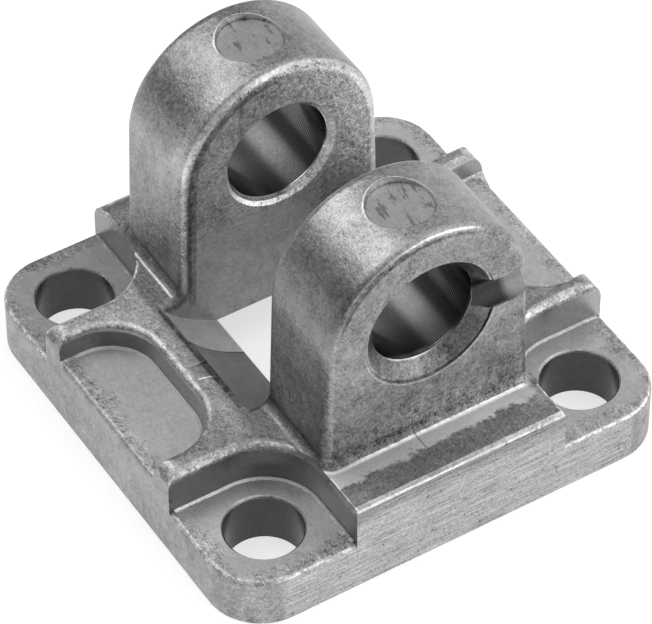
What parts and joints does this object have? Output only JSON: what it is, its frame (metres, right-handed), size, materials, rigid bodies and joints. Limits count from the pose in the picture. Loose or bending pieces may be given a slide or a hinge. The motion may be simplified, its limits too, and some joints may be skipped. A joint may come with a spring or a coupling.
{
  "type": "clevis foot",
  "caption": "Die-cast aluminium clevis foot: rounded ears with a cross bore for a pivot pin, on a square flange with bolt holes in corner pockets.",
  "frame": {"origin": "centre of the mounting face, where the flange meets the cylinder's end cap", "axes": "+X along the pin axis, towards the ear with the groove and the seat for the pin's head; +Z from the mounting face to the pin; +Y the side where the groove runs out"},
  "size_m": [0.0446, 0.0446, 0.032],
  "materials": {
    "cast_aluminium": "as cast and tumbled, satin, with the bores and the side by the grooved ear machined"
  },
  "bodies": {
    "root": {"clevis_foot": "cast_aluminium"}
  },
  "joints": []
}
